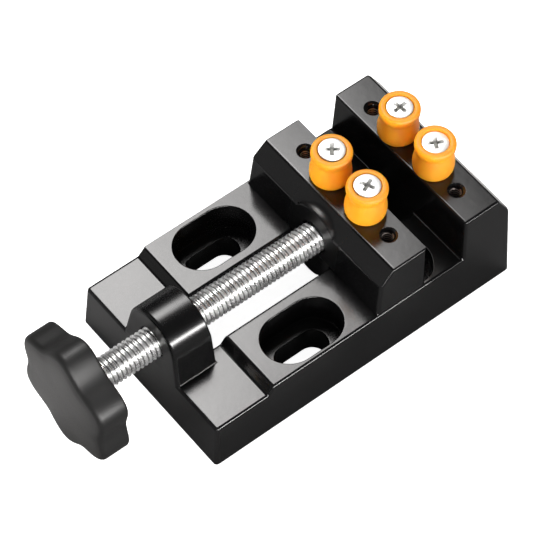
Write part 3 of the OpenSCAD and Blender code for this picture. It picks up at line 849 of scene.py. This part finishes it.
def peg_profile():
    points = [(2.15, 0)]
    points += [(share * PEG_R, h * PEG_H) for h, share in PEG_WAIST_SHARES]
    points += [(4.5, PEG_H), (4.3, PEG_H - 0.12), (4.25, PEG_H - 0.7), (2.15, PEG_H - 2.95), (2.15, 0)]
    return lathe(points)


def peg_screw_profile():
    return lathe([(0, 0), (3.75, 0), (3.95, -0.08), (4.05, -0.25), (4.05, -0.4), (2.1, -2.5), (1.95, -2.5),
                  (1.95, -12), (1.62, -12), (1.62, -19.4), (0.97, -20), (0, -20)])


PEGS = [
    ("fixed_left", FIXED_HOLE_X, PEG_Y, "base", 7, 0),
    ("fixed_right", FIXED_HOLE_X, -PEG_Y, "base", 59, -0.3),
    ("moving_left", MOVING_HOLE_X, PEG_Y, "jaw", 52, 0.7),
    ("moving_right", MOVING_HOLE_X, -PEG_Y, "jaw", 25, 0.45),
]
for peg_name, x, y, body, cross, lift in PEGS:
    x += PEG_SHIFT_X
    y += PEG_SHIFT_Y
    head_z = PEG_SCREW_TOP_Z + lift
    peg = grown(f"peg_body_{peg_name}", SWEEP, peg_profile(), Steps=96,
                Place=(x * MM, y * MM, JAW_TOP_Z * MM), Finish=PEG_PLASTIC)
    tidy_mesh(peg, 40, close=False)
    settle(peg, body, "peg", f"peg_{peg_name}")
    screw = grown(f"peg_cross_screw_{peg_name}", SCREW_KIT, peg_screw_profile(), Steps=64,
                  Turn=math.radians(cross), Place=(x * MM, y * MM, head_z * MM), Finish=HEAD)
    tidy_mesh(screw, 28, close=False)
    note_depth(screw, lambda at: (head_z - 0.1 - at.z) / 0.5)
    settle(screw, body, "steel", f"peg_screw_{peg_name}")


# Carried-over CAD nodes

def dress(node, finish):
    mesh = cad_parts[node].data
    mesh.materials.clear()
    mesh.materials.append(finish)


for node in ("keeper_plate", "keeper_washer_front", "keeper_washer_rear"):
    dress(node, PLATE)
for node in ("keeper_screw_front", "keeper_screw_rear", "retaining_pin_left", "retaining_pin_right"):
    dress(node, ZINC)
dress("knob_insert", BRASS)


# Floor, light and camera

def studio_level(net, ambient, camera_level, gloss_level):
    """White to the camera and through glass, and in glosses the level of the photo's dim studio."""
    path = net.add("ShaderNodeLightPath")
    seen = (path.out("Is Camera Ray") + path.out("Is Transmission Ray")).call("MINIMUM", 1.0)
    return ambient + seen * (camera_level - ambient) + path.out("Is Glossy Ray") * (gloss_level - ambient)


def white_floor():
    """White to the eye and dimmer in glosses, with a lighter zone behind the part and one before it."""
    mesh = bpy.data.meshes.new("studio_floor")
    reach = 6.0
    mesh.from_pydata([(-reach, -reach, 0), (reach, -reach, 0), (reach, reach, 0), (-reach, reach, 0)], [],
                     [(0, 1, 2, 3)])
    floor = bpy.data.objects.new("studio_floor", mesh)
    bpy.context.collection.objects.link(floor)
    floor.location.z = -0.00002
    finish = bpy.data.materials.new("studio_white")
    finish.use_nodes = True
    finish.node_tree.nodes.clear()
    net = Net(finish.node_tree)
    gloss = net.add("ShaderNodeLightPath", out="Is Glossy Ray")
    spot = net.add("ShaderNodeSeparateXYZ", {0: net.add("ShaderNodeTexCoord", out="Object")})
    behind = rise(spot, 54, 60) * fall(spot, 100, 130) * rise(spot.out("Y"), -34, -30)
    before = fall(spot, -60, -55) * rise(spot.out("Y"), -12, 20)
    dim = behind.mix(before.mix(rgb(0.2, 0.2, 0.2), rgb(0.46, 0.46, 0.46)), rgb(0.8, 0.8, 0.8))
    paper = net.add("ShaderNodeBsdfDiffuse", {"Color": gloss.mix(rgb(0.8, 0.8, 0.8), dim)})
    glow = net.add("ShaderNodeEmission",
                   {"Color": rgb(1, 1, 1), "Strength": studio_level(net, 0.0, 0.93, 0.0)})
    both = net.add("ShaderNodeAddShader", {0: paper, 1: glow})
    net.add("ShaderNodeOutputMaterial", {"Surface": both})
    mesh.materials.append(finish)


def studio_world():
    world = bpy.data.worlds.new("studio")
    bpy.context.scene.world = world
    world.use_nodes = True
    world.node_tree.nodes.clear()
    net = Net(world.node_tree)
    sky = net.add("ShaderNodeBackground",
                  {"Color": rgb(1, 1, 1), "Strength": studio_level(net, 0.24, 1.0, 0.03)})
    net.add("ShaderNodeOutputWorld", {"Surface": sky})


LAMP_DISTANCE = 1.0
LAMP_AIM = Vector((0.0, 0.0, 0.02))


def lamp(name, direction, power, width, height, edges=(0, 0, 0, 0), seen_by="all"):
    """An area lamp out along a direction, dimmer towards each edge by the share of it given.
    It lights everything, or only what is seen in glosses, or only diffuse surfaces."""
    data = bpy.data.lights.new(name, "AREA")
    data.shape = "RECTANGLE"
    data.size = width
    data.size_y = height
    data.energy = power
    data.use_nodes = True
    data.node_tree.nodes.clear()
    net = Net(data.node_tree)
    across = net.add("ShaderNodeNewGeometry", out="Parametric")
    parts = net.add("ShaderNodeSeparateXYZ", {0: across})
    level = 1.0
    sides = (parts.out("X"), 1.0 - parts.out("X"), parts.out("Y"), 1.0 - parts.out("Y"))
    for side, edge in zip(sides, edges):
        if edge:
            gain = net.add("ShaderNodeMapRange", {"Value": side, "From Max": edge},
                           interpolation_type="SMOOTHSTEP")
            level = gain * level
    glow = net.add("ShaderNodeEmission", {"Color": rgb(1.0, 0.985, 0.975), "Strength": level})
    net.add("ShaderNodeOutputLight", {"Surface": glow})
    light = bpy.data.objects.new(name, data)
    bpy.context.collection.objects.link(light)
    way = Vector(direction).normalized()
    light.rotation_mode = "QUATERNION"
    light.location = LAMP_AIM + way * LAMP_DISTANCE
    light.rotation_quaternion = way.to_track_quat("Z", "Y")
    light.visible_diffuse = seen_by != "gloss"
    light.visible_glossy = seen_by != "diffuse"


CAMERA_AZIMUTH = -40.159
CAMERA_ELEVATION = 55.723
CAMERA_ROLL = 1.843
CAMERA_DISTANCE = 853.059
CAMERA_AIM = Vector((-5.616, 8.293, 10.134))
FOCAL_PIXELS = 2877.65
IMAGE_PIXELS = 533
SENSOR_WIDTH = 36


def camera():
    """Stands where the photograph was taken from."""
    azimuth, elevation, roll = (math.radians(a) for a in (CAMERA_AZIMUTH, CAMERA_ELEVATION, CAMERA_ROLL))
    back = Vector((math.sin(azimuth) * math.cos(elevation), -math.cos(azimuth) * math.cos(elevation),
                   math.sin(elevation)))
    right = (-back).cross(Vector((0, 0, 1))).normalized()
    up = right.cross(-back)
    across = right * math.cos(roll) + up * math.sin(roll)
    upward = up * math.cos(roll) - right * math.sin(roll)
    data = bpy.data.cameras.new("camera")
    data.sensor_width = SENSOR_WIDTH
    data.lens = FOCAL_PIXELS / IMAGE_PIXELS * SENSOR_WIDTH
    eye = bpy.data.objects.new("camera", data)
    bpy.context.collection.objects.link(eye)
    eye.matrix_world = Matrix.Translation(CAMERA_AIM * MM + back * CAMERA_DISTANCE * MM) @ \
        Matrix((across, upward, back)).transposed().to_4x4()
    bpy.context.scene.camera = eye


white_floor()
studio_world()
lamp("main_softbox", (0.24, 0.5, 0.83), 17.2, 0.62, 0.6, edges=(0.45, 0.2, 0.5, 0.2))
lamp("side_strip", (-0.1, -0.89, 0.4), 44.0, 1.5, 0.18, edges=(0.15, 0.15, 0.35, 0.35),
     seen_by="gloss")
lamp("bevel_glow", (-0.83, 0.43, 0.36), 0.5, 1.0, 0.5, seen_by="gloss")
lamp("left_fill", (-0.97, 0.0, 0.17), 7.5, 0.3, 0.16, seen_by="diffuse")
lamp("right_fill", (0.0, -0.97, 0.17), 7.0, 0.3, 0.16, seen_by="diffuse")
lamp("front_fill", (-0.5, -0.6, 0.62), 1.8, 0.4, 0.4, seen_by="diffuse")
camera()
bpy.context.scene.view_settings.view_transform = "Standard"
